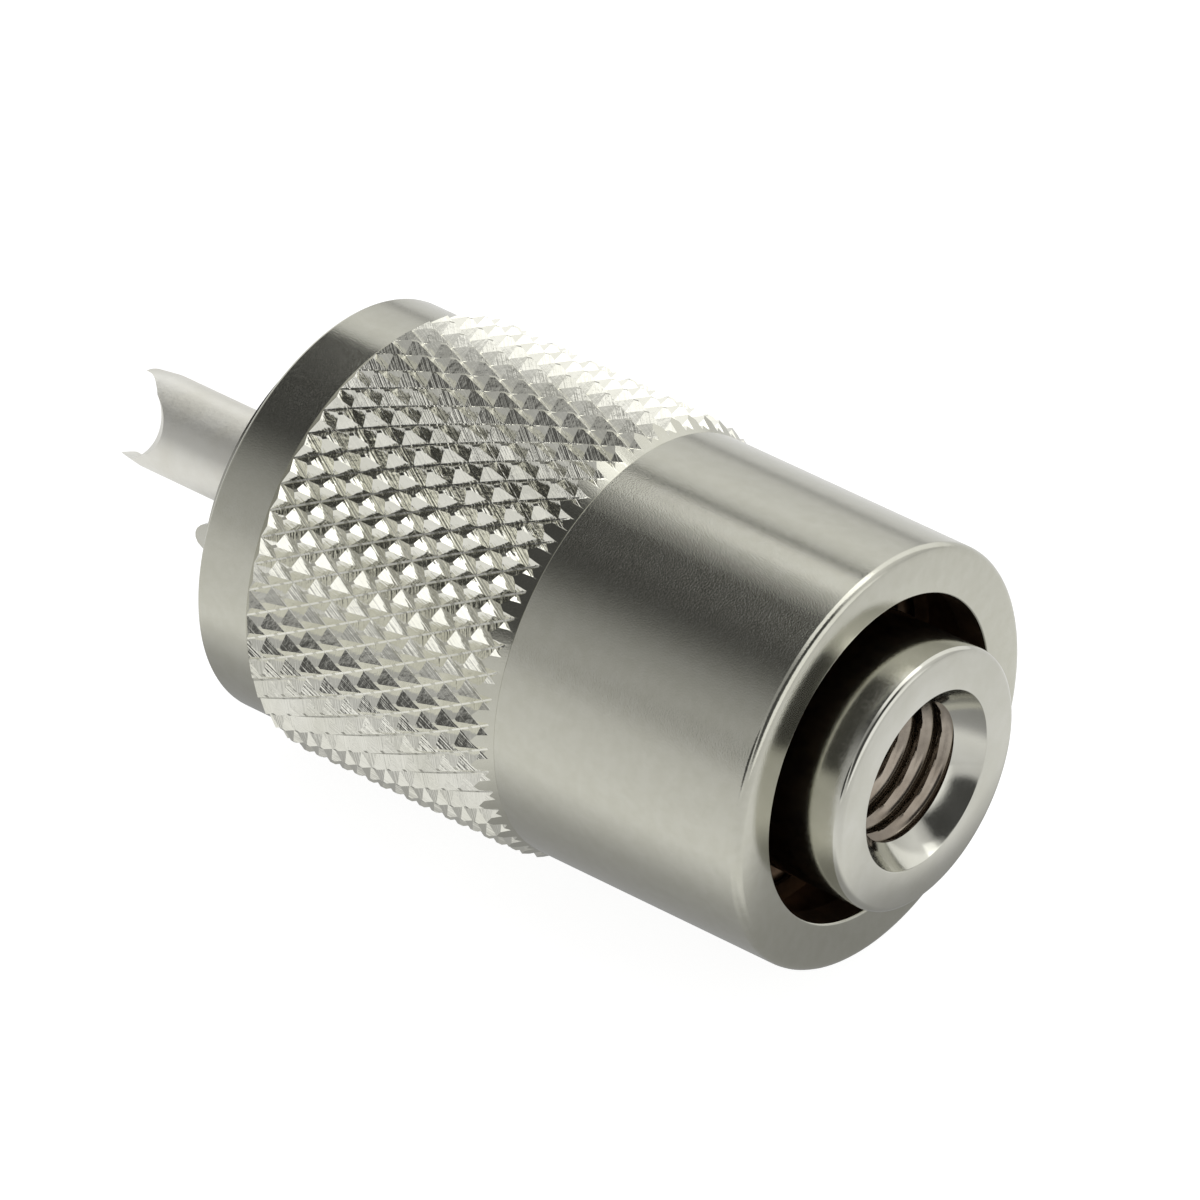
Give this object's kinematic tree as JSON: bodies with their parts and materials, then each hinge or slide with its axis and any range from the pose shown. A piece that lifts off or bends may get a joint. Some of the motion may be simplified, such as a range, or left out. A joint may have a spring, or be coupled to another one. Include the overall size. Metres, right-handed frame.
{
  "type": "uhf connector",
  "caption": "UHF coaxial plug with a knurled coupling nut that spins on a turned body, a hollow centre pin, a toothed contact rim and a threaded cable end.",
  "frame": {"origin": "centre of the body's rear face, where the cable goes in", "axes": "+Z along the plug's axis towards the centre pin; the part stands on its rear face"},
  "size_m": [0.0186, 0.0186, 0.0395],
  "materials": {
    "body_nickel": "bright nickel plating over turned brass",
    "insulator_white": "smooth, white",
    "pin_silver": "matt silver plating over turned brass, slightly yellowed at the notch",
    "nut_nickel": "satin nickel plating over turned and knurled brass"
  },
  "bodies": {
    "plug": {"plug_body": "body_nickel", "insulator": "insulator_white", "centre_pin": "pin_silver"},
    "nut": {"coupling_nut": "nut_nickel"}
  },
  "joints": [
    {"name": "nut_turn", "type": "hinge", "parent": "plug", "child": "nut", "pos_m": [0, 0, 0.0158], "axis": [0, 0, 1], "continuous": true}
  ]
}
